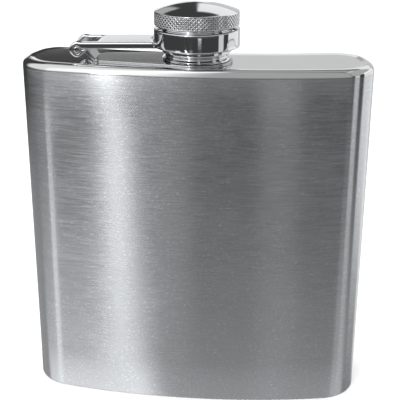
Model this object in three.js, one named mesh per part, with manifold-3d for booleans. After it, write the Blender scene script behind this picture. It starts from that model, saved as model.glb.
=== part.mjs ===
// A pocket hip flask in stainless steel: a kidney-shaped body bent to sit against the hip, a threaded spout,
// and a knurled screw cap that stays on a hinged arm. Millimetres, +Z up. The origin is on the ground,
// in the middle of the body's outline. The convex face looks along -Y, and the arm's hinge is on the -X side.
import * as THREE from "three";
import { mergeVertices } from "three/addons/utils/BufferGeometryUtils.js";
import Module from "manifold-3d";

const wasm = await Module();
wasm.setup();

// ---- Driving dimensions ----
const bodyWidth = 95;
const bodyHeight = 97.5;
const bodyThickness = 24;
const bendRadius = 187.5; // of the line midway between the front and back faces
const frontCornerRadius = 11.5;
const backCornerRadius = 8.5;
const sheet = 0.6; // steel sheet of the body
const fitGap = 0.06; // between pieces that are welded, pressed or seated together
const shoulderRadius = 2.1; // the top panel's rolled edge
const plateRecess = 0.25; // the top panel's flat lies this far below its rolled edge
const creaseInset = 2.2; // from the body's outline to the start of that flat
const baseRecess = 1.6; // the bottom panel's pan lies this far above the rim it stands on

const axisX = 0.4; // of the spout, the cap and the band
const boreRadius = 5.5;
const spoutRadius = 6.5; // the spout's plain wall
const spoutThreadRadius = 7.05; // over its thread
const spoutHeight = 9.6; // above the body's top, as are all the heights below
const spoutTail = 1.6; // how far the spout reaches down inside the body
const collarHeight = 3.6;
const collarRadius = 9.2;

const bracketSheet = 0.8;
const bracketRingRadius = 9.6; // round the spout
const bracketEnd = -26; // from the spout's axis, where the plate ends and only its tongue runs on to the hinge
const bracketHalfWidth = 5; // at that end
const tongueHalfWidth = 3.6;
const hingeX = -31; // from the spout's axis
const hingeHeight = 3.3;
const knuckleRadius = 2.1;
const pinRadius = 0.95;
const pinClearance = 0.1;
const armWidth = 12;
const armSlotHalfWidth = 3.9; // the fork that straddles the bracket's knuckle
const armSlotEnd = 5; // from the hinge axis to the root of the fork

const bandRadius = 11.45;
const bandBottom = 4.0;
const bandTop = 8.75;
const bandWall = 1.1;
const bandFlange = 0.8; // thickness of the inward flange at the band's top

const skirtRadius = 9.2; // the cap's sleeve where it passes through the band
const skirtBottom = 4.05;
const ringBottom = 4.35;
const ringThickness = 0.6;
const ringGrooveRadius = 8.75;
const sleeveBoreRadius = 8.2;
const sleeveThreadRadius = 7.55;
const threadPitch = 1.4;
const threadStart = 6.3;
const threadTurns = 2;
const capRadius = 11.25; // over the knurl
const capBottom = 9.5;
const knurlTop = 13.3;
const domeRise = 2.2;
const capWall = 0.9;
const capChamfer = 0.35;
const sealThickness = 1.3;

const ROUND = 48; // segments of a turned piece
const SMALL_ROUND = 24; // segments of a pin or knuckle

// ---- Finishes ----
const finish = (color, roughness, metalness = 1) =>
  new THREE.MeshStandardMaterial({ color, roughness, metalness });
const brushedSteel = finish(0xb4b6b9, 0.35);
const satinSteel = finish(0xc6c6c4, 0.28);
const polishedSteel = finish(0xd2d3d4, 0.12);
const silicone = finish(0xe8e6df, 0.6, 0);

// ---- Solids ----
const toSolid = (geometry) => {
  const bare = geometry.clone();
  bare.deleteAttribute("normal");
  bare.deleteAttribute("uv");
  const merged = mergeVertices(bare, 1e-4);
  return new wasm.Manifold(
    new wasm.Mesh({
      numProp: 3,
      vertProperties: merged.attributes.position.array,
      triVerts: new Uint32Array(merged.index.array),
    }),
  );
};

const toGeometry = (solid) => {
  const mesh = solid.getMesh();
  const geometry = new THREE.BufferGeometry();
  geometry.setAttribute("position", new THREE.BufferAttribute(mesh.vertProperties, 3));
  geometry.setIndex(new THREE.BufferAttribute(mesh.triVerts, 1));
  geometry.computeVertexNormals();
  return geometry;
};

const block = (x0, x1, y0, y1, z0, z1) =>
  toSolid(
    new THREE.BoxGeometry(x1 - x0, y1 - y0, z1 - z0).translate(
      (x0 + x1) / 2,
      (y0 + y1) / 2,
      (z0 + z1) / 2,
    ),
  );

// A turned piece about the Z axis. The profile is a list of [radius, height] that runs anticlockwise round the
// metal, seen with the radius to the right and the height up.
const turned = (profile, segments = ROUND) =>
  new THREE.LatheGeometry(
    profile.map(([r, z]) => new THREE.Vector2(r, z)),
    segments,
  ).rotateX(Math.PI / 2);

const turnedRing = (profile, segments) => turned([...profile, profile[0]], segments);

const cylinder = (radius, z0, z1, segments = ROUND) =>
  toSolid(turned([[0, z0], [radius, z0], [radius, z1], [0, z1]], segments));

// A prism along Z from a plan outline.
const prism = (points, z0, z1, holes = []) => {
  const shape = new THREE.Shape(points);
  shape.holes = holes.map((hole) => new THREE.Path(hole));
  return new THREE.ExtrudeGeometry(shape, { depth: z1 - z0, bevelEnabled: false }).translate(0, 0, z0);
};

// A prism along Y, centred on y = 0, from a side outline with x to the right and z up.
const sidePrism = (points, width) =>
  new THREE.ExtrudeGeometry(new THREE.Shape(points), { depth: width, bevelEnabled: false })
    .translate(0, 0, -width / 2)
    .rotateX(Math.PI / 2);

const arcPoints = (cx, cy, radius, from, to, steps) =>
  Array.from({ length: steps + 1 }, (_, i) => {
    const a = from + ((to - from) * i) / steps;
    return new THREE.Vector2(cx + radius * Math.cos(a), cy + radius * Math.sin(a));
  });

// ---- The body's plan outline ----
// A rounded rectangle bent round a point behind the flask, so that the front is convex and the back concave.
const frontRadius = bendRadius + bodyThickness / 2;
const backRadius = bendRadius - bodyThickness / 2;
const frontCornerTurn = Math.asin((bodyWidth / 2 - frontCornerRadius) / (frontRadius - frontCornerRadius));
const endTurn = frontCornerTurn + Math.asin(frontCornerRadius / (frontRadius - frontCornerRadius));
const backCornerTurn = endTurn - Math.asin(backCornerRadius / (backRadius + backCornerRadius));
const backMost =
  bendRadius - (backRadius + backCornerRadius) * Math.cos(backCornerTurn) + backCornerRadius;
const axisY = -(backMost - bodyThickness / 2) / 2; // the spout's axis, with the outline's middle at y = 0
const bendY = axisY + bendRadius;

const planOutline = (inset) => {
  const quarter = Math.PI / 2;
  const cornerAt = (distance, turn) => [distance * Math.sin(turn), bendY - distance * Math.cos(turn)];
  const frontCorner = cornerAt(frontRadius - frontCornerRadius, frontCornerTurn);
  const backCorner = cornerAt(backRadius + backCornerRadius, backCornerTurn);
  const half = [
    ...arcPoints(0, bendY, frontRadius - inset, -quarter, frontCornerTurn - quarter, 9),
    ...arcPoints(...frontCorner, frontCornerRadius - inset, frontCornerTurn - quarter, endTurn, 9).slice(1),
    ...arcPoints(...backCorner, backCornerRadius - inset, endTurn, quarter + backCornerTurn, 9),
    ...arcPoints(0, bendY, backRadius + inset, backCornerTurn - quarter, -quarter, 9).slice(1),
  ];
  const mirrored = half.slice(1, -1).reverse();
  return [...half, ...mirrored.map((p) => new THREE.Vector2(-p.x, p.y))];
};

// A block with the body's outline whose top edge is rolled over by round and rise.
const rolledBlock = (inset, round, rise, z0, z1) => {
  const tall = new THREE.ExtrudeGeometry(new THREE.Shape(planOutline(inset + round)), {
    depth: z1 - z0,
    bevelThickness: rise,
    bevelSize: round,
    bevelSegments: 5,
  }).translate(0, 0, z0 - rise);
  return toSolid(tall).subtract(block(-bodyWidth, bodyWidth, -bodyWidth, bodyWidth, z0 - 10, z0));
};

// ---- The body ----
const seamHeight = bodyHeight - shoulderRadius;

const bodyWrap = () => prism(planOutline(0), 0, seamHeight, [planOutline(sheet)]);

const topPanel = () => {
  const flat = bodyHeight - plateRecess;
  const inside = flat - sheet;
  const outer = rolledBlock(0, shoulderRadius, shoulderRadius, seamHeight, bodyHeight);
  const inner = rolledBlock(sheet, shoulderRadius - sheet, inside - seamHeight, seamHeight, inside);
  const recess = toSolid(prism(planOutline(creaseInset), flat, bodyHeight + 1));
  const hole = cylinder(spoutRadius + fitGap, inside - 1, bodyHeight + 1).translate([axisX, axisY, 0]);
  return toGeometry(outer.subtract(inner).subtract(recess).subtract(hole));
};

const bottomPanel = () => {
  const inset = sheet + fitGap;
  const pan = toSolid(prism(planOutline(inset), 0, baseRecess + sheet));
  return toGeometry(pan.subtract(toSolid(prism(planOutline(inset + sheet), -1, baseRecess))));
};

// ---- Threads ----
// A helical ridge on a round wall. It stands out from radius wall to radius crest, and runs out to nothing at both
// ends. Its foot is sunk a little into the wall, so that the two join.
const threadRidge = (wall, crest) => {
  const foot = wall > crest ? 0.15 : -0.15;
  const halfFoot = threadPitch * 0.36;
  const halfCrest = threadPitch * 0.1;
  const steps = ROUND * threadTurns;
  const section = new THREE.Shape([
    new THREE.Vector2(foot, -halfFoot),
    new THREE.Vector2(crest - wall, -halfCrest),
    new THREE.Vector2(crest - wall, halfCrest),
    new THREE.Vector2(foot, halfFoot),
  ]);
  const ridge = new THREE.ExtrudeGeometry(section, { depth: 1, steps, bevelEnabled: false });
  const place = ridge.attributes.position;
  const runOut = 0.12; // share of the ridge over which each end fades
  for (let i = 0; i < place.count; i++) {
    const along = place.getZ(i);
    const fade = Math.min(1, Math.min(along, 1 - along) / runOut + 0.05);
    const angle = -along * threadTurns * 2 * Math.PI;
    const out = place.getX(i);
    const radius = wall + (Math.sign(out) === Math.sign(foot) ? out : out * fade);
    const height = threadStart + (1 - along) * threadTurns * threadPitch + place.getY(i) * (0.4 + 0.6 * fade);
    place.setXYZ(i, radius * Math.cos(angle), radius * Math.sin(angle), height);
  }
  return toSolid(ridge);
};

// ---- The spout and its collar ----
const spout = () => {
  const lip = 0.4;
  const wall = turnedRing([
    [boreRadius, -spoutTail],
    [spoutRadius, -spoutTail],
    [spoutRadius, spoutHeight - lip],
    [spoutRadius - lip, spoutHeight],
    [boreRadius + 0.2, spoutHeight],
    [boreRadius, spoutHeight - 0.2],
  ]);
  return toGeometry(toSolid(wall).add(threadRidge(spoutRadius, spoutThreadRadius)));
};

// A turned collar with a flange above a hollow waist. It clamps the bracket's ring to the top panel.
const spoutCollar = () => {
  const inner = spoutRadius + fitGap;
  const foot = bracketSheet - plateRecess + fitGap;
  const footRadius = 9.1;
  const waistRadius = 8.4;
  return turnedRing([
    [inner, foot],
    [footRadius, foot],
    [footRadius, foot + 0.45],
    [waistRadius + 0.15, foot + 0.85],
    [waistRadius, foot + 1.2],
    [waistRadius + 0.25, foot + 1.6],
    [collarRadius - 0.15, collarHeight - 1.1],
    [collarRadius, collarHeight - 0.9],
    [collarRadius, collarHeight - 0.25],
    [collarRadius - 0.25, collarHeight],
    [inner, collarHeight],
  ]);
};

// ---- The hinge ----
const plateTop = bodyHeight - plateRecess;
const hingeZ = bodyHeight + hingeHeight;
const knuckleBore = pinRadius + pinClearance;

// A plate that lies on the top panel, round the spout at one end. At the other end a narrower tongue rises from it
// and curls round the pin.
const hingeBracket = () => {
  const tongueEnd = hingeX + 4.4;
  const lean = Math.atan2(bracketRingRadius - bracketHalfWidth, -bracketEnd);
  const touch = Math.PI / 2 + lean;
  const corner = 0.8;
  const outline = [
    new THREE.Vector2(tongueEnd, -tongueHalfWidth),
    new THREE.Vector2(bracketEnd, -tongueHalfWidth),
    ...arcPoints(bracketEnd + corner, corner - bracketHalfWidth, corner, -Math.PI, -touch, 5),
    ...arcPoints(0, 0, bracketRingRadius, -touch, touch, 30),
    ...arcPoints(bracketEnd + corner, bracketHalfWidth - corner, corner, touch, Math.PI, 5),
    new THREE.Vector2(bracketEnd, tongueHalfWidth),
    new THREE.Vector2(tongueEnd, tongueHalfWidth),
  ];
  const hole = arcPoints(0, 0, spoutRadius + fitGap, 0, 2 * Math.PI, ROUND).slice(1);
  const base = toSolid(prism(outline, 0, bracketSheet, [hole]));

  const pinHeight = hingeHeight + plateRecess; // of the pin above the plate
  const outer = knuckleBore + bracketSheet;
  const rise = new THREE.Vector2(tongueEnd - 0.9, bracketSheet);
  const upright = [
    new THREE.Vector2(tongueEnd + 0.3, 0),
    new THREE.Vector2(tongueEnd + 0.3, bracketSheet),
    rise,
    ...arcPoints(hingeX, pinHeight, outer, 0.25, Math.PI * 1.9, 18),
    new THREE.Vector2(tongueEnd - 1.6, 0.25),
    new THREE.Vector2(tongueEnd - 1.2, 0),
  ];
  const knuckle = toSolid(sidePrism(upright, 2 * tongueHalfWidth));
  const bore = toSolid(
    new THREE.CylinderGeometry(knuckleBore, knuckleBore, 3 * tongueHalfWidth, SMALL_ROUND),
  ).translate([hingeX, 0, pinHeight]);
  return toGeometry(base.add(knuckle).subtract(bore));
};

const hingePin = () => {
  const half = armWidth / 2;
  const chamfer = 0.2;
  const profile = [
    [0, -half],
    [pinRadius - chamfer, -half],
    [pinRadius, -half + chamfer],
    [pinRadius, half - chamfer],
    [pinRadius - chamfer, half],
    [0, half],
  ];
  return turned(profile, SMALL_ROUND).rotateX(Math.PI / 2);
};

// ---- The arm ----
// A strap that curls round the pin at one end, forked there to straddle the bracket, and meets the band at the other.
const armStrap = () => {
  const bandEnd = -bandRadius + 3;
  const strapTop = 2.35; // above the hinge axis, where the strap meets the band
  const strapBottom = 0.75;
  const curlEnd = 3.25; // the curl closes on the strap's underside, this far from the hinge axis
  const side = [
    ...arcPoints(hingeX, 0, knuckleRadius, Math.PI / 2, Math.PI * 1.75, 16),
    new THREE.Vector2(hingeX + curlEnd, 0.37),
    new THREE.Vector2(bandEnd, strapBottom),
    new THREE.Vector2(bandEnd, strapTop),
    new THREE.Vector2(hingeX + 2, knuckleRadius - 0.1),
  ];
  const fork = block(hingeX - 4, hingeX + armSlotEnd, -armSlotHalfWidth, armSlotHalfWidth, -4, 4);
  const bandSeat = cylinder(bandRadius + fitGap, -5, 5);
  const bore = toSolid(
    new THREE.CylinderGeometry(knuckleBore, knuckleBore, 2 * armWidth, SMALL_ROUND),
  ).translate([hingeX, 0, 0]);
  return toGeometry(toSolid(sidePrism(side, armWidth)).subtract(bore).subtract(fork).subtract(bandSeat));
};

// A ring round the cap's sleeve. Its top flange holds the sleeve's retaining ring in the hollow below it.
const armBand = () => {
  const edge = 0.2;
  const hollow = bandRadius - bandWall;
  const under = bandTop - bandFlange;
  return turnedRing([
    [hollow, bandBottom],
    [bandRadius - edge, bandBottom],
    [bandRadius, bandBottom + edge],
    [bandRadius, bandTop - edge],
    [bandRadius - edge, bandTop],
    [skirtRadius + 0.15, bandTop],
    [skirtRadius + 0.15, under],
    [hollow, under],
  ]);
};

// ---- The cap ----
const retainingRing = () => {
  const inner = ringGrooveRadius + fitGap;
  const outer = bandRadius - bandWall - 0.2;
  return turnedRing([
    [inner, ringBottom],
    [outer, ringBottom],
    [outer, ringBottom + ringThickness],
    [inner, ringBottom + ringThickness],
  ]);
};

const sleeveFlangeRadius = capRadius - capWall - fitGap;
const sleeveCeiling = spoutHeight + fitGap + sealThickness + fitGap;
const sleeveTop = sleeveCeiling + 1;

// The cap's threaded sleeve: a cup that opens downwards, with a flange that is pressed into the shell.
const capSleeve = () => {
  const grooveTop = ringBottom + ringThickness + fitGap;
  const wall = turned([
    [0, sleeveCeiling],
    [sleeveBoreRadius, sleeveCeiling],
    [sleeveBoreRadius, skirtBottom + 0.3],
    [sleeveBoreRadius + 0.2, skirtBottom],
    [skirtRadius - 0.1, skirtBottom],
    [skirtRadius, skirtBottom + 0.1],
    [skirtRadius, ringBottom - fitGap],
    [ringGrooveRadius, ringBottom - fitGap],
    [ringGrooveRadius, grooveTop],
    [skirtRadius, grooveTop],
    [skirtRadius, capBottom + 0.25],
    [sleeveFlangeRadius, capBottom + 0.25],
    [sleeveFlangeRadius, sleeveTop],
    [0, sleeveTop],
  ]);
  return toGeometry(toSolid(wall).add(threadRidge(sleeveBoreRadius, sleeveThreadRadius)));
};

const capSeal = () => {
  const radius = sleeveBoreRadius - fitGap;
  const z0 = spoutHeight + fitGap;
  const z1 = z0 + sealThickness;
  return turned([
    [0, z0],
    [radius - 0.3, z0],
    [radius, z0 + 0.3],
    [radius, z1],
    [0, z1],
  ]);
};

// The outer shell: a knurled wall under a shallow dome, open at the bottom. The wall is drawn over its crests.
const capShell = () => {
  const inner = capRadius - capWall;
  const edge = capRadius - capChamfer;
  const domeSphere = (edge * edge + domeRise * domeRise) / (2 * domeRise);
  const domeSpan = Math.asin(edge / domeSphere);
  const dome = arcPoints(0, knurlTop + domeRise - domeSphere, domeSphere, Math.PI / 2 - domeSpan, Math.PI / 2, 8);
  const crown = sleeveTop + fitGap;
  return turned([
    [0, crown],
    [inner, crown],
    [inner, capBottom],
    [edge, capBottom],
    [capRadius, capBottom + capChamfer],
    [capRadius, knurlTop - capChamfer],
    ...dome.slice(0, -1).map((p) => [p.x, p.y]),
    [0, knurlTop + domeRise],
  ], 64);
};

// ---- The assembly ----
const flask = new THREE.Group();

const add = (name, geometry, material, place = [0, 0, 0]) => {
  const mesh = new THREE.Mesh(geometry, material);
  mesh.name = name;
  mesh.position.set(...place);
  flask.add(mesh);
};

const onSpoutAxis = [axisX, axisY, bodyHeight];
const onHinge = [axisX, axisY, hingeZ];

add("body_wrap", bodyWrap(), brushedSteel);
add("top_panel", topPanel(), satinSteel);
add("bottom_panel", bottomPanel(), satinSteel);
add("spout", spout(), polishedSteel, onSpoutAxis);
add("spout_collar", spoutCollar(), polishedSteel, onSpoutAxis);
add("hinge_bracket", hingeBracket(), satinSteel, [axisX, axisY, plateTop]);
add("hinge_pin", hingePin(), polishedSteel, [axisX + hingeX, axisY, hingeZ]);
add("arm_strap", armStrap(), polishedSteel, onHinge);
add("arm_band", armBand(), polishedSteel, onSpoutAxis);
add("retaining_ring", retainingRing(), polishedSteel, onSpoutAxis);
add("cap_sleeve", capSleeve(), polishedSteel, onSpoutAxis);
add("cap_seal", capSeal(), silicone, onSpoutAxis);
add("cap_shell", capShell(), polishedSteel, onSpoutAxis);

export default flask;
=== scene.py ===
"""A stainless hip flask with a knurled screw cap on a hinged arm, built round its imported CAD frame."""
import math

import bmesh
import bpy
from mathutils import Matrix, Vector


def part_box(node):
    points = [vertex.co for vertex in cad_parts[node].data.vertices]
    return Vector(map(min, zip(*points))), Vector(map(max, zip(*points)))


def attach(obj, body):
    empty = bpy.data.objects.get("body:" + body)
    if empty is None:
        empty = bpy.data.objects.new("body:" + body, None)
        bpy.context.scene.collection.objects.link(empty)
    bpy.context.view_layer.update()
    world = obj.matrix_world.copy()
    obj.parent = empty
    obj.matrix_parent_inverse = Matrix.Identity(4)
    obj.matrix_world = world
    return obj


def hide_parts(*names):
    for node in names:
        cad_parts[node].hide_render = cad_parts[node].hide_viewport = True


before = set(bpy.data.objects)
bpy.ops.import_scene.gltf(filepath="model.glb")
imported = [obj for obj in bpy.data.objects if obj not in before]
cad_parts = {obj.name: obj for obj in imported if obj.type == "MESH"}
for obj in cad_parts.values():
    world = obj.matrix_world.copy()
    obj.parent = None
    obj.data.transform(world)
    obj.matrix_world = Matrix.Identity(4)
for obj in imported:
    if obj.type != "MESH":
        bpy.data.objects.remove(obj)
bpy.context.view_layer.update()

MM = 0.001
TAU = 2 * math.pi

# ---- Places, in metres, from the frame ----
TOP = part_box("top_panel")[1].z
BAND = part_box("arm_band")
AXIS_X = (BAND[0].x + BAND[1].x) / 2
AXIS_Y = (BAND[0].y + BAND[1].y) / 2
HINGE = (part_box("hinge_pin")[0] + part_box("hinge_pin")[1]) / 2

# ---- Sizes, in metres ----
THICKNESS = 24 * MM
HALF_WIDTH = 47.5 * MM
BEND_RADIUS = 187.5 * MM
FRONT_CORNER = 11.5 * MM
BACK_CORNER = 8.5 * MM
SHEET = 0.6 * MM
FIT_GAP = 0.06 * MM
SHOULDER = 2.1 * MM
RECESS = 0.25 * MM
BASE_RECESS = 1.6 * MM
SPOUT = 6.5 * MM
SPOUT_HOLE = SPOUT + FIT_GAP
SLEEVE_BORE = 8.2 * MM
BRACKET_SHEET = 0.8 * MM
KNUCKLE = 2.1 * MM
KNUCKLE_BORE = 1.06 * MM
CAP_RADIUS = 11.25 * MM
KNURLS = 60
KNURL_RISE = 1.08 * MM
KNURL_DEPTH = 0.12 * MM
KNURL_LOW, KNURL_HIGH = 9.85 * MM, 13.1 * MM
SAME = 1e-7


# ---- Meshes ----
def piece(name, verts, faces, body, node, slot, material, sharp=40):
    """A smooth-shaded mesh that rides on a body and stands for its CAD node."""
    mesh = bpy.data.meshes.new(name)
    mesh.from_pydata(verts, [], faces)
    bm = bmesh.new()
    bm.from_mesh(mesh)
    bmesh.ops.remove_doubles(bm, verts=bm.verts, dist=SAME)
    bmesh.ops.recalc_face_normals(bm, faces=bm.faces)
    bm.to_mesh(mesh)
    bm.free()
    mesh.shade_smooth()
    mesh.set_sharp_from_angle(angle=math.radians(sharp))
    obj = bpy.data.objects.new(name, mesh)
    bpy.context.scene.collection.objects.link(obj)
    mesh.materials.append(material)
    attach(obj, body)
    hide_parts(node)
    return obj


def arc(cx, cy, radius, start, end, steps):
    """Points on an arc, from the start angle to the end angle."""
    return [
        (cx + radius * math.cos(start + (end - start) * i / steps),
         cy + radius * math.sin(start + (end - start) * i / steps))
        for i in range(steps + 1)
    ]


def filleted(corners, closed=True, steps=5):
    """A polyline through (a, b, radius) corners, each rounded to its radius."""
    line = []
    count = len(corners)
    for i, (a, b, radius) in enumerate(corners):
        here = Vector((a, b))
        if radius <= 0 or (not closed and i in (0, count - 1)):
            line.append((a, b))
            continue
        before = (Vector(corners[i - 1][:2]) - here).normalized()
        after = (Vector(corners[(i + 1) % count][:2]) - here).normalized()
        half = before.angle(after) / 2
        reach = radius / math.tan(half)
        centre = here + (before + after).normalized() * (radius / math.sin(half))
        first = here + before * reach - centre
        turn = first.angle_signed(here + after * reach - centre)
        for k in range(steps + 1):
            line.append(tuple(centre + Matrix.Rotation(-turn * k / steps, 2) @ first))
    return line


def rings_to_faces(rings, closed):
    """Quads between rings of equal length. A ring of one vertex is a pole."""
    verts, faces, starts = [], [], []
    for ring in rings:
        starts.append(len(verts))
        verts.extend(ring)
    pairs = list(zip(range(len(rings) - 1), range(1, len(rings))))
    if closed:
        pairs.append((len(rings) - 1, 0))
    for a, b in pairs:
        na, nb = len(rings[a]), len(rings[b])
        count = max(na, nb)
        for i in range(count):
            j = (i + 1) % count
            corners = [
                starts[a] + i % na, starts[a] + j % na,
                starts[b] + j % nb, starts[b] + i % nb,
            ]
            face = list(dict.fromkeys(corners))
            if len(face) > 2:
                faces.append(face)
    return verts, faces


def revolved(profile, base_z, segments=160, swell=None, closed=True):
    """A turned piece round the spout's axis. The profile is (radius, height above base_z) in metres."""
    rings = []
    for r, z in profile:
        if r < SAME:
            rings.append([(AXIS_X, AXIS_Y, base_z + z)])
            continue
        ring = []
        for i in range(segments):
            a = TAU * i / segments
            radius = r + (swell(r, z, a) if swell else 0)
            x, y = AXIS_X + radius * math.cos(a), AXIS_Y + radius * math.sin(a)
            ring.append((x, y, base_z + z))
        rings.append(ring)
    return rings_to_faces(rings, closed)


def mm(corners):
    """Tuples given in millimetres, as metres."""
    return [tuple(v * MM for v in corner) for corner in corners]


def subdivided(line, step):
    """The same polyline with no span longer than step."""
    fine = []
    for (a, b), (c, d) in zip(line, line[1:]):
        parts = max(1, math.ceil(math.hypot(c - a, d - b) / step))
        fine += [(a + (c - a) * k / parts, b + (d - b) * k / parts) for k in range(parts)]
    return fine + [line[-1]]


# ---- The body's outline: a rounded rectangle bent round a point behind the flask ----
FRONT_R = BEND_RADIUS + THICKNESS / 2
BACK_R = BEND_RADIUS - THICKNESS / 2
BEND_Y = AXIS_Y + BEND_RADIUS
FRONT_TURN = math.asin((HALF_WIDTH - FRONT_CORNER) / (FRONT_R - FRONT_CORNER))
END_TURN = FRONT_TURN + math.asin(FRONT_CORNER / (FRONT_R - FRONT_CORNER))
BACK_TURN = END_TURN - math.asin(BACK_CORNER / (BACK_R + BACK_CORNER))


def outline(inset, z):
    """The outline moved inwards by inset, as points at height z."""
    quarter = math.pi / 2

    def corner_at(distance, turn):
        return distance * math.sin(turn), BEND_Y - distance * math.cos(turn)

    front = corner_at(FRONT_R - FRONT_CORNER, FRONT_TURN)
    back = corner_at(BACK_R + BACK_CORNER, BACK_TURN)
    half = arc(0, BEND_Y, FRONT_R - inset, -quarter, FRONT_TURN - quarter, 40)
    half += arc(*front, FRONT_CORNER - inset, FRONT_TURN - quarter, END_TURN, 28)[1:]
    half += arc(*back, BACK_CORNER - inset, END_TURN, quarter + BACK_TURN, 28)
    half += arc(0, BEND_Y, BACK_R + inset, BACK_TURN - quarter, -quarter, 40)[1:]
    whole = half + [(-x, y) for x, y in reversed(half[1:-1])]
    return [(x, y, z) for x, y in whole]


def towards_axis(ring, radius, z):
    """The circle round the spout's axis, each point on the same bearing as its partner in the ring."""
    circle = []
    for x, y, _ in ring:
        bearing = math.atan2(y - AXIS_Y, x - AXIS_X)
        east, north = radius * math.cos(bearing), radius * math.sin(bearing)
        circle.append((AXIS_X + east, AXIS_Y + north, z))
    return circle


# ---- Materials ----
class Nodes:
    """Shorthand for filling one node tree."""

    def __init__(self, tree):
        self.nodes = tree.nodes
        self.links = tree.links

    def add(self, kind, **settings):
        node = self.nodes.new("ShaderNode" + kind)
        for key, value in settings.items():
            setattr(node, key, value)
        return node

    def fill(self, node, values):
        """Sets each input to its number or vector, or links its output to it."""
        for socket, value in zip(node.inputs, values):
            if isinstance(value, (int, float, tuple)):
                socket.default_value = value
            else:
                self.links.new(value, socket)
        return node

    def calc(self, operation, *values):
        return self.fill(self.add("Math", operation=operation), values).outputs["Value"]

    def vector(self, operation, *values):
        return self.fill(self.add("VectorMath", operation=operation), values).outputs

    def split(self, vector):
        node = self.add("SeparateXYZ")
        self.links.new(vector, node.inputs["Vector"])
        return node.outputs

    def ramp(self, source, low, high, to_low, to_high, kind="LINEAR"):
        """Source brought from the range low to high into the range to_low to to_high."""
        node = self.add("MapRange", interpolation_type=kind)
        self.fill(node, (source, low, high, to_low, to_high))
        return node.outputs["Result"]

    def noise(self, place, stretch, scale, detail, rough):
        mapping = self.add("Mapping")
        mapping.inputs["Scale"].default_value = stretch
        self.links.new(place, mapping.inputs["Vector"])
        texture = self.add("TexNoise")
        texture.inputs["Scale"].default_value = scale
        texture.inputs["Detail"].default_value = detail
        texture.inputs["Roughness"].default_value = rough
        self.links.new(mapping.outputs["Vector"], texture.inputs["Vector"])
        return texture.outputs["Fac"]


def new_material(name):
    """A material, its node tree and its shader."""
    mat = bpy.data.materials.new(name)
    mat.use_nodes = True
    return mat, Nodes(mat.node_tree), mat.node_tree.nodes["Principled BSDF"]


def groove_shade_mask(tree, place, shade_depth):
    """0 near the cap's radius, rising to 1 at the given depth inside it, on the knurled wall and below:
    where painted shade darkens the knurl's grooves.
    """
    centred = tree.vector("SUBTRACT", place, (AXIS_X, AXIS_Y, 0))["Vector"]
    level = tree.vector("MULTIPLY", centred, (1, 1, 0))["Vector"]
    radius = tree.vector("LENGTH", level)["Value"]
    height = tree.split(place)["Z"]
    top, fade = TOP + KNURL_HIGH, 0.05 * MM
    inside = tree.ramp(radius, CAP_RADIUS - shade_depth, CAP_RADIUS - 0.02 * MM, 1.0, 0.0)
    below = tree.ramp(height, top - fade, top + fade, 1.0, 0.0)
    return tree.calc("MULTIPLY", inside, below)


def steel(name, color, roughness, grain, streaks=0.0, anisotropic=0.0, shade_depth=0.0):
    """Polished or brushed steel.

    grain and streaks are heights of bump, in metres, and streaks run level round the piece. Where a shade
    depth is given, painted shade darkens the metal's colour to that depth inside the cap's radius, for
    the knurl's grooves."""
    mat, tree, shader = new_material(name)
    shader.inputs["Metallic"].default_value = 1.0
    place = tree.add("TexCoord").outputs["Object"]
    cloud = tree.noise(place, (1, 1, 1), 60, 4, 0.55)
    fleck = tree.noise(place, (0.6, 0.6, 1.4), 2600, 2, 0.6)
    tone = tree.ramp(cloud, 0.3, 0.7, 0.97, 1.03)
    rough = tree.ramp(cloud, 0.3, 0.7, roughness * 0.95, roughness * 1.05)
    height = tree.calc("MULTIPLY", fleck, grain)
    if streaks:
        line = tree.noise(place, (150, 150, 2600), 1, 4, 0.6)
        tone = tree.calc("MULTIPLY", tone, tree.ramp(line, 0.3, 0.7, 0.96, 1.04))
        # a sprinkling of bright grains
        tone = tree.calc("MULTIPLY", tone, tree.ramp(fleck, 0.58, 0.7, 1.0, 1.3))
        rough = tree.calc("ADD", rough, tree.ramp(line, 0.25, 0.75, -0.03, 0.03))
        height = tree.calc("ADD", tree.calc("MULTIPLY", line, streaks), height)
    # painted shade: the colour is darkened by up to 85% in the knurl's grooves and inside the cap, below
    # the knurl's top
    if shade_depth:
        painted_shade = tree.calc("MULTIPLY", groove_shade_mask(tree, place, shade_depth), 0.85)
        tone = tree.calc("MULTIPLY", tone, tree.calc("SUBTRACT", 1.0, painted_shade))
    tint = tree.add("VectorMath", operation="SCALE")
    tint.inputs[0].default_value = color
    tree.links.new(tone, tint.inputs["Scale"])
    tree.links.new(tint.outputs["Vector"], shader.inputs["Base Color"])
    tree.links.new(rough, shader.inputs["Roughness"])
    bump = tree.add("Bump")
    bump.inputs["Distance"].default_value = 1.0
    tree.links.new(height, bump.inputs["Height"])
    tree.links.new(bump.outputs["Normal"], shader.inputs["Normal"])
    if anisotropic:
        shader.inputs["Anisotropic"].default_value = anisotropic
        shader.inputs["Anisotropic Rotation"].default_value = 0.25
        tangent = tree.add("Tangent", direction_type="RADIAL", axis="Z")
        tree.links.new(tangent.outputs["Tangent"], shader.inputs["Tangent"])
    return mat


def silicone(name, color):
    mat, tree, shader = new_material(name)
    shader.inputs["Subsurface Weight"].default_value = 0.1
    speckle = tree.add("TexNoise")
    speckle.inputs["Scale"].default_value = 900
    tones = tree.add("ValToRGB")
    tones.color_ramp.elements[0].color = (*[c * 0.9 for c in color], 1)
    tones.color_ramp.elements[1].color = (*color, 1)
    tree.links.new(speckle.outputs["Fac"], tones.inputs["Fac"])
    tree.links.new(tones.outputs["Color"], shader.inputs["Base Color"])
    spread = tree.ramp(speckle.outputs["Fac"], 0.0, 1.0, 0.45, 0.65)
    tree.links.new(spread, shader.inputs["Roughness"])
    return mat


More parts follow.
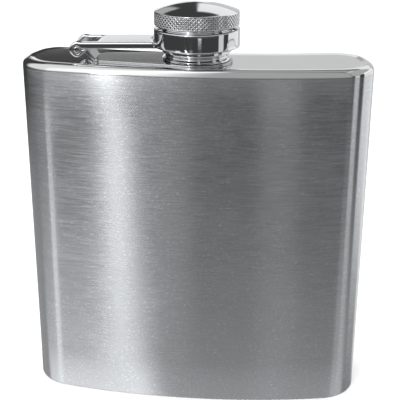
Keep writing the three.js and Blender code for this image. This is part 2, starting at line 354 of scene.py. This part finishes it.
BRUSHED = steel("brushed_steel", (0.56, 0.575, 0.595), 0.22, 3e-6, streaks=1.3e-6, anisotropic=0.94)
PANEL = steel("panel_steel", (0.66, 0.665, 0.67), 0.05, 0.4e-6)
CHROME = steel("polished_steel", (0.68, 0.69, 0.705), 0.06, 0.8e-6)
SATIN = steel("satin_steel", (0.38, 0.385, 0.395), 0.15, 1.6e-6)
# the cap's steel, with shade painted into its knurl's grooves
KNURLED = steel("knurled_steel", (0.68, 0.69, 0.705), 0.08, 0.8e-6, shade_depth=0.09 * MM)
SILICONE = silicone("silicone", (0.78, 0.77, 0.72))

# ---- The body ----
SEAM = TOP - SHOULDER
PANEL_FLAT = TOP - RECESS


def rings_at(line):
    """The outline at each (inset, height) of the line."""
    return [outline(inset, z) for inset, z in line]


def body_wrap():
    corners = [(0, 0, 0.25 * MM), (0, SEAM, 0.03 * MM), (SHEET, SEAM, 0.06 * MM), (SHEET, 0, 0.1 * MM)]
    line = filleted(corners, steps=4)
    return rings_at(subdivided(line + line[:1], 12 * MM)[:-1])


def top_panel():
    """The pressed panel: a rolled shoulder, a shallow slope down to the flat, and the spout's hole."""
    dip = 0.02 * MM
    panel_edge = SHOULDER + 1.5 * MM
    roll = arc(SHOULDER, SEAM, SHOULDER, math.pi, math.pi / 2, 10)
    slope = [
        (SHOULDER + 0.02 * MM, TOP), (SHOULDER + 0.22 * MM, TOP - dip),
        (SHOULDER + 1.15 * MM, PANEL_FLAT + dip), (SHOULDER + 1.35 * MM, PANEL_FLAT),
        (panel_edge, PANEL_FLAT),
    ]
    outer = rings_at(roll + slope)
    under = PANEL_FLAT - SHEET
    inner_roll = arc(SHOULDER, SEAM, SHOULDER - SHEET, math.pi / 2, math.pi, 8)
    squash = (under - SEAM) / (SHOULDER - SHEET)
    inner = rings_at([(panel_edge, under)] + [(i, SEAM + (z - SEAM) * squash) for i, z in inner_roll])
    hole = [towards_axis(outer[-1], SPOUT_HOLE, PANEL_FLAT), towards_axis(inner[0], SPOUT_HOLE, under)]
    return outer + hole + inner


def base_pan():
    """The pan set up into the wrap's lower end. Its skins meet at the rim."""
    wall, crown, edge = SHEET + FIT_GAP, BASE_RECESS + SHEET, 0.12 * MM
    upper = [(wall + edge, 0), (wall, edge), (wall, crown - 0.3 * MM)]
    upper += [(wall + 0.09 * MM, crown - 0.08 * MM), (wall + 0.3 * MM, crown), (wall + 0.44 * MM, crown)]
    inner = wall + SHEET
    lower = [(inner + 0.44 * MM, BASE_RECESS), (inner + 0.14 * MM, BASE_RECESS - 0.1 * MM)]
    lower += [(inner, BASE_RECESS - 0.4 * MM), (inner, edge), (inner - edge, 0)]
    middles = [[(0, AXIS_Y, crown)], [(0, AXIS_Y, BASE_RECESS)]]
    return rings_at(upper) + middles + rings_at(lower)


piece("flask_wrap", *rings_to_faces(body_wrap(), True), "flask", "body_wrap", "brushed_body", BRUSHED)
piece("flask_top", *rings_to_faces(top_panel(), True), "flask", "top_panel", "satin_panel", PANEL)
piece("flask_base", *rings_to_faces(base_pan(), True), "flask", "bottom_panel", "satin_panel", PANEL)

# ---- Threads ----
PITCH = 1.4 * MM
THREAD_START = 6.3 * MM
TURNS = 2
# shares of the pitch
THREAD_CREST, THREAD_FLANK = 0.1, 0.26
# share of the thread's length over which it runs out at either end
THREAD_RUNOUT = 0.12


def thread(wall, depth):
    """The radius that a right-handed thread adds to a wall of this radius."""
    def swell(r, z, angle):
        if abs(r - wall) > SAME:
            return 0
        best = 0
        for k in range(TURNS):
            along = (angle / TAU + k) / TURNS
            centre = THREAD_START + along * TURNS * PITCH
            fade = min(1, min(along, 1 - along) / THREAD_RUNOUT + 0.05)
            rise = (THREAD_CREST + THREAD_FLANK - abs(z - centre) / PITCH) / THREAD_FLANK
            best = max(best, min(1, max(0, rise)) * fade)
        return best * depth
    return swell


# ---- The spout, its collar and the cap's pieces, all turned round one axis ----
def turned(name, corners, body, node, slot, material, step=None, **kind):
    """A closed profile of (radius, height over the body's top, fillet) in millimetres, turned."""
    line = filleted(mm(corners), steps=5)
    if step:
        line = subdivided(line + line[:1], step)[:-1]
    return piece(name, *revolved(line, TOP, **kind), body, node, slot, material)


turned("spout_tube", [(5.5, -1.6, 0.1), (6.5, -1.6, 0.1), (6.5, 9.6, 0.35), (5.5, 9.6, 0.25)],
       "flask", "spout", "polished", CHROME, 0.14 * MM, swell=thread(SPOUT, 0.55 * MM))
turned("spout_ring", [(6.56, 0.61, 0.05), (9.1, 0.61, 0.12), (9.1, 1.1, 0.2), (8.4, 1.6, 0.4),
                      (8.4, 2.1, 0.4), (9.2, 2.75, 0.2), (9.2, 3.6, 0.22), (6.56, 3.6, 0.1)],
       "flask", "spout_collar", "polished", CHROME)
turned("band", [(10.35, 4.0, 0.1), (11.45, 4.0, 0.3), (11.45, 8.75, 0.3), (9.35, 8.75, 0.15),
                (9.35, 7.95, 0.1), (10.35, 7.95, 0.05)],
       "arm", "arm_band", "polished", CHROME, 1 * MM)
turned("cap_clip", [(8.81, 4.35, 0.1), (10.1, 4.35, 0.15), (10.1, 4.95, 0.15), (8.81, 4.95, 0.1)],
       "cap", "retaining_ring", "polished", CHROME)


def poled(corners):
    """A profile that starts and ends on the axis, with its corners rounded between."""
    return filleted(mm(corners), closed=False, steps=5)


seal = poled([(0, 9.66, 0), (8.14, 9.66, 0.35), (8.14, 10.96, 0.12), (0, 10.96, 0)])
piece("seal_disc", *revolved(seal, TOP, closed=False), "seal", "cap_seal", "seal", SILICONE)

sleeve = poled([
    (0, 11.02, 0), (8.2, 11.02, 0.15), (8.2, 4.05, 0.15), (9.2, 4.05, 0.12), (9.2, 4.29, 0.03),
    (8.75, 4.29, 0.03), (8.75, 5.01, 0.03), (9.2, 5.01, 0.03), (9.2, 9.75, 0.12), (10.29, 9.75, 0.05),
    (10.29, 12.02, 0.05), (0, 12.02, 0),
])
sleeve = subdivided(sleeve[:-1], 0.14 * MM) + [sleeve[-1]]
sleeve_thread = thread(SLEEVE_BORE, -0.65 * MM)
piece("cap_sleeve_turned", *revolved(sleeve, TOP, swell=sleeve_thread, closed=False),
      "cap", "cap_sleeve", "polished", CHROME)

# ---- The cap's shell: a diamond-knurled wall under a shallow dome ----
KNURL_END = 0.12 * MM
DOME_EDGE, DOME_RISE, DOME_FOOT = 10.9 * MM, 2.2 * MM, 13.3 * MM


def knurl(r, z, angle):
    """The knurl's grooves run both ways round the wall and fade out at its ends."""
    if abs(r - CAP_RADIUS) > SAME or not KNURL_LOW <= z <= KNURL_HIGH:
        return 0
    height = 1
    for way in (1, -1):
        phase = (KNURLS * angle / TAU + way * z / KNURL_RISE) % 1
        height = min(height, 1 - abs(2 * phase - 1))
    edge = min(z - KNURL_LOW, KNURL_HIGH - z) / KNURL_END
    return -KNURL_DEPTH * (1 - min(1, height * 3)) * min(1, edge)


def cap_profile():
    """The shell's profile, from the axis inside, round its rim, to the top of the dome."""
    sphere = (DOME_EDGE**2 + DOME_RISE**2) / (2 * DOME_RISE)
    lean = math.asin(DOME_EDGE / sphere)
    dome = arc(0, DOME_FOOT + DOME_RISE - sphere, sphere, math.pi / 2 - lean, math.pi / 2, 40)
    inside = mm([(0, 12.08), (10.2, 12.08), (10.3, 12.04), (10.35, 11.9), (10.35, 9.6), (10.4, 9.5)])
    rim = mm([(10.9, 9.5), (11.1, 9.57), (11.21, 9.7)])
    wall = subdivided([(CAP_RADIUS, KNURL_LOW), (CAP_RADIUS, KNURL_HIGH)], 0.09 * MM)
    brow = mm([(11.21, 13.19), (11.1, 13.26)])
    return inside + rim + wall + brow + dome[:-1] + [(0, DOME_FOOT + DOME_RISE)]


cap_mesh = revolved(cap_profile(), TOP, segments=KNURLS * 12, swell=knurl, closed=False)
piece("cap_knurled", *cap_mesh, "cap", "cap_shell", "polished", KNURLED, sharp=32)


# ---- Sheet-metal pieces: two matching skins, walled along every free edge, with their edges rounded ----
def plate_piece(name, upper, lower, cells, edge, body, node, slot, material):
    """upper and lower are matching lists of points, and cells the faces between the upper ones.

    The upper skin's edges are rounded to edge, and the lower one's to a third of it."""
    count = len(upper)
    faces = [list(cell) for cell in cells] + [[v + count for v in reversed(cell)] for cell in cells]
    sides = {(cell[i - 1], cell[i]) for cell in cells for i in range(len(cell))}
    faces += [[b, a, a + count, b + count] for a, b in sides if (b, a) not in sides]
    obj = piece(name, upper + lower, faces, body, node, slot, material)
    mesh = obj.data
    weights = mesh.attributes.new("bevel_weight_edge", "FLOAT", "EDGE")
    directed = {tuple(sorted(side)) for side in sides if side[::-1] not in sides}
    for link in mesh.edges:
        a, b = sorted(link.vertices)
        if (a, b) in directed:
            weights.data[link.index].value = 1.0
        elif (a - count, b - count) in directed:
            weights.data[link.index].value = 0.33
    soft = obj.modifiers.new("edges", "BEVEL")
    soft.width = edge
    soft.segments = 4
    soft.limit_method = "WEIGHT"
    level = obj.modifiers.new("normals", "WEIGHTED_NORMAL")
    level.keep_sharp = False
    return obj


def offset_line(path, distance):
    """The polyline moved sideways, to its left, by distance."""
    moved = []
    for i, point in enumerate(path):
        before, after = Vector(path[max(i - 1, 0)]), Vector(path[min(i + 1, len(path) - 1)])
        along = (after - before).normalized()
        moved.append((point[0] - along.y * distance, point[1] + along.x * distance))
    return moved


def bracket():
    """The plate round the spout, and its tongue that curls round the pin."""
    half = BRACKET_SHEET / 2
    z = PANEL_FLAT + half + 0.01 * MM
    end, wide, tongue, ring, corner = (v * MM for v in (-26, 5, 3.6, 9.6, 0.8))
    touch = math.pi / 2 + math.atan2(ring - wide, -end)
    columns = 8
    side = arc(end + corner, wide - corner, corner, math.pi, touch, 6)
    rest = arc(0, 0, ring, touch, -touch, 72)
    low = [(x, -y) for x, y in reversed(side)]
    steps = [(end, tongue * (2 * k / columns - 1)) for k in range(columns + 1)]
    border = steps + side + rest[1:-1] + low
    rim = [(AXIS_X + x, AXIS_Y + y, z) for x, y in border]
    flat_part = rim + towards_axis(rim, SPOUT_HOLE, z)
    upper = [(x, y, z + half) for x, y, z in flat_part]
    lower = [(x, y, z - half) for x, y, z in flat_part]
    count = len(border)
    cells = [[i, (i + 1) % count, count + (i + 1) % count, count + i] for i in range(count)]
    end += AXIS_X
    pin = HINGE.z - z
    # the tongue's side view: up from the plate, then round the pin
    climb = [
        (end, 0, 0), (end - 1.0 * MM, 0, 0.9 * MM),
        (HINGE.x + 1.5 * MM, pin - 0.1 * MM, 0.6 * MM), (HINGE.x + 1.44 * MM, pin + 0.25 * MM, 0),
    ]
    path = filleted(climb, closed=False, steps=6)
    path += arc(HINGE.x, pin, 1.45 * MM, 0.2, 1.66 * math.pi, 26)[1:]
    last = list(range(columns + 1))
    above, below = offset_line(path, -half), offset_line(path, half)
    for (xa, za), (xb, zb) in zip(above[1:], below[1:]):
        row = list(range(len(upper), len(upper) + columns + 1))
        upper += [(xa, AXIS_Y + y, z + za) for _, y in steps]
        lower += [(xb, AXIS_Y + y, z + zb) for _, y in steps]
        cells += [[last[k + 1], last[k], row[k], row[k + 1]] for k in range(columns)]
        last = row
    return upper, lower, cells


plate_piece("hinge_plate", *bracket(), 0.3 * MM, "flask", "hinge_bracket", "satin_panel", SATIN)


def strap():
    """The forked strap, from the band to the two knuckles that curl round the pin."""
    half, slot, slot_end = 6 * MM, 3.9 * MM, HINGE.x + 5 * MM
    level_from, run, band_gap = HINGE.x + 2 * MM, 17.5 * MM, 0.02 * MM
    across = [-half + (half - slot) * k / 4 for k in range(5)]
    across += [-slot + 2 * slot * k / 10 for k in range(1, 10)]
    across += [-y for y in reversed(across[:5])]
    # the curl: round the pin, then up to the strap's underside
    turn = 1.75 * math.pi
    tip = 3.2 * MM, 0.29 * MM
    outside = arc(0, 0, KNUCKLE, math.pi / 2, turn, 28)
    foot = outside[-1]
    outside += [
        (foot[0] + (tip[0] - foot[0]) * k / 5, foot[1] + (tip[1] - foot[1]) * k / 5)
        for k in range(1, 6)
    ]
    bore = arc(0, 0, KNUCKLE_BORE, math.pi / 2, turn, 28)
    bore += arc(0, 0, KNUCKLE_BORE, turn, TAU - 0.05, 5)[1:]
    # each skin, with its curl and its heights over the pin at the band and at level_from
    upper, lower, rows = [], [], []
    skins = (upper, outside, 2.35 * MM, 1.98 * MM), (lower, bore, 0.75 * MM, 0.35 * MM)
    for y in across:
        start = AXIS_X - math.sqrt((BAND[1].x - AXIS_X + band_gap)**2 - y**2)
        level = [start + (slot_end - start) * k / 12 for k in range(12)]
        level += [slot_end + (HINGE.x + 0.9 * MM - slot_end) * k / 8 for k in range(9)]
        for skin, curl, at_band, at_hinge in skins:
            slope = (at_band - at_hinge) / run
            for x in level:
                height = at_hinge + slope * (x - level_from)
                if skin is lower and x < level_from:
                    height = max(height, math.sqrt(max(0, KNUCKLE_BORE**2 - (x - HINGE.x)**2)))
                skin.append((x, AXIS_Y + y, HINGE.z + height))
            skin.extend((HINGE.x + a, AXIS_Y + y, HINGE.z + b) for a, b in curl)
        length = len(level) + len(bore)
        rows.append(range(len(upper) - length, len(upper)))
    cells = []
    for j, (a, b) in enumerate(zip(rows, rows[1:])):
        over_slot = abs((across[j] + across[j + 1]) / 2) < slot
        reach = 12 if over_slot else len(a) - 1
        cells += [[a[k], b[k], b[k + 1], a[k + 1]] for k in range(reach)]
    used = sorted({v for cell in cells for v in cell})
    number = {v: i for i, v in enumerate(used)}
    cells = [[number[v] for v in cell] for cell in cells]
    return [upper[v] for v in used], [lower[v] for v in used], cells


plate_piece("arm_fork", *strap(), 0.45 * MM, "arm", "arm_strap", "polished", CHROME)


def pin_rings():
    rings = []
    for r, along in poled([(0, -6, 0), (0.95, -6, 0.3), (0.95, 6, 0.3), (0, 6, 0)]):
        circle = arc(HINGE.x, HINGE.z, r, 0, TAU, 48)[:-1]
        ring = [(x, AXIS_Y + along, z) for x, z in circle]
        rings.append(ring[:1] if r < SAME else ring)
    return rings


piece("pin_rod", *rings_to_faces(pin_rings(), False), "flask", "hinge_pin", "polished", CHROME)


# ---- The studio ----
CAMERA_PLACE = (0.023091, AXIS_Y - 0.235886, 0.149116)
CAMERA_LENS = 81.022
# turns about the upright, the level and the viewing axis, in radians
CAMERA_TURNS = 0.0916442, -0.3683959, -0.0039622
FLOOR_HALF = 4.0


def camera():
    """A camera at CAMERA_PLACE, set by its right, up and backward axes."""
    yaw, pitch, roll = CAMERA_TURNS
    turn = Matrix.Rotation(yaw, 3, "Z") @ Matrix.Rotation(pitch, 3, "X") @ Matrix.Rotation(roll, 3, "Y")
    data = bpy.data.cameras.new("camera")
    data.lens = CAMERA_LENS
    data.sensor_width = 36
    obj = bpy.data.objects.new("camera", data)
    right, ahead, up = turn.col[0], turn.col[1], turn.col[2]
    pose = Matrix((right, up, -ahead)).transposed().to_4x4()
    pose.translation = CAMERA_PLACE
    obj.matrix_world = pose
    bpy.context.scene.collection.objects.link(obj)
    bpy.context.scene.camera = obj


def floor():
    half = FLOOR_HALF
    mesh = bpy.data.meshes.new("floor")
    corners = [(-half, -half, 0), (half, -half, 0), (half, half, 0), (-half, half, 0)]
    mesh.from_pydata(corners, [], [(0, 1, 2, 3)])
    obj = bpy.data.objects.new("floor", mesh)
    mat, _, shader = new_material("floor")
    shader.inputs["Base Color"].default_value = (0.92, 0.92, 0.92, 1)
    shader.inputs["Roughness"].default_value = 0.9
    shader.inputs["Specular IOR Level"].default_value = 0.0
    mesh.materials.append(mat)
    obj.visible_glossy = False
    bpy.context.scene.collection.objects.link(obj)


# Soft boxes round the flask, in degrees: bearing from the front towards +X, half width, edge softness,
# lowest and highest elevation, their softness, lean in bearing per degree of elevation, then brightness.
SOFT_BOXES = [
    # a slanting strip, in front on the left
    (-24, 1.4, 2.2, 5, 70, 8, 0, 4.3),
    (-29.8, 1.2, 2.2, -23, -16, 4, -0.386, 2.6),
    (-19, 1.0, 2.6, -50, -27, 4, 0, 0.3),
    # overhead, in front
    (-60, 40, 20, 12, 90, 18, 0, 1.0),
    (8, 42, 16, 10, 80, 18, 0, 0.45),
    # the pale ground
    (-58, 38, 6, -90, -36, 10, 0, 0.88),
    (20, 70, 20, -90, -36, 16, 0, 0.46),
    (105, 45, 12, -90, -24, 8, 0, 0.22),
    # faint vertical gleams
    (-10, 2, 4, -24, -15, 4, 0, 0.22),
    (14, 2, 4, -40, -15, 4, 0, 0.06),
    (13, 3.5, 1.5, -10.8, -7, 0.8, 0, 0.75),
    # round the left corner
    (-46, 4, 6, -26, -19, 4, 0, 1.2),
    (-100, 40, 15, -60, -19, 4, 0, 0.38),
    # round the right corner
    (72.5, 6, 3, -18, 8, 4, 0, 0.75),
    (119, 21, 3, -20, 15, 6, 0, 1.0),
    (98, 34, 8, 15, 58, 6, 0, 0.5),
    # behind: the panel, the dome and the strap mirror these
    (162, 21, 3, -30, 16, 3, 0, 0.66),
    (160, 24, 2, 20, 42, 3, 0, 1.05),
    (-163, 12, 3, -30, 10.9, 0.4, 0, 0.95),
    (-161, 3, 3, 15, 30, 2.5, 0, 0.45),
    # high up behind: the shoulder's crest
    (162, 88, 4, 62, 90, 8, 0, 0.42),
]
SURROUND = 0.06


def soft_box(tree, bearing, elevation, box):
    """The box's brightness in each direction."""
    az, half, soft, low, high, soft_el, lean, bright = box
    middle = tree.calc("MULTIPLY_ADD", elevation, lean, az) if lean else az
    # the difference in bearing, brought into -180 to 180
    turn = tree.calc("SUBTRACT", bearing, middle)
    turn = tree.calc("SUBTRACT", tree.calc("MODULO", tree.calc("ADD", turn, 540.0), 360.0), 180.0)
    rise = tree.calc("SUBTRACT", elevation, (low + high) / 2)
    shares = []
    for distance, reach, edge in ((turn, half, soft), (rise, (high - low) / 2, soft_el)):
        away = tree.calc("ABSOLUTE", distance)
        shares.append(tree.ramp(away, reach, reach + edge, 1.0, 0.0, "SMOOTHSTEP"))
    return tree.calc("MULTIPLY", tree.calc("MULTIPLY", *shares), bright)


def studio():
    """A world of soft boxes for the light, and plain white where the camera sees it."""
    world = bpy.data.worlds.new("studio")
    bpy.context.scene.world = world
    world.use_nodes = True
    tree = Nodes(world.node_tree)
    direction = tree.split(tree.add("TexCoord").outputs["Generated"])
    backward = tree.calc("MULTIPLY", direction["Y"], -1.0)
    bearing = tree.calc("MULTIPLY", tree.calc("ARCTAN2", direction["X"], backward), 180 / math.pi)
    elevation = tree.calc("MULTIPLY", tree.calc("ARCSINE", direction["Z"]), 180 / math.pi)
    total = SURROUND
    for box in SOFT_BOXES:
        total = tree.calc("ADD", total, soft_box(tree, bearing, elevation, box))
    lit = tree.nodes["Background"]
    lit.inputs["Color"].default_value = (1, 1, 1, 1)
    tree.links.new(total, lit.inputs["Strength"])
    pale = tree.add("Background")
    pale.inputs["Color"].default_value = (1, 1, 1, 1)
    mix = tree.add("MixShader")
    tree.links.new(tree.add("LightPath").outputs["Is Camera Ray"], mix.inputs["Fac"])
    tree.links.new(lit.outputs["Background"], mix.inputs[1])
    tree.links.new(pale.outputs["Background"], mix.inputs[2])
    tree.links.new(mix.outputs["Shader"], tree.nodes["World Output"].inputs["Surface"])


def overhead():
    """A wide soft light that lights the floor evenly."""
    data = bpy.data.lights.new("overhead", "AREA")
    data.shape = "SQUARE"
    data.size = 3.0
    data.energy = 46
    obj = bpy.data.objects.new("overhead", data)
    obj.location = (0, 0, 1.6)
    obj.visible_glossy = False
    obj.visible_camera = False
    bpy.context.scene.collection.objects.link(obj)


camera()
floor()
studio()
overhead()
bpy.context.scene.view_settings.view_transform = "Standard"
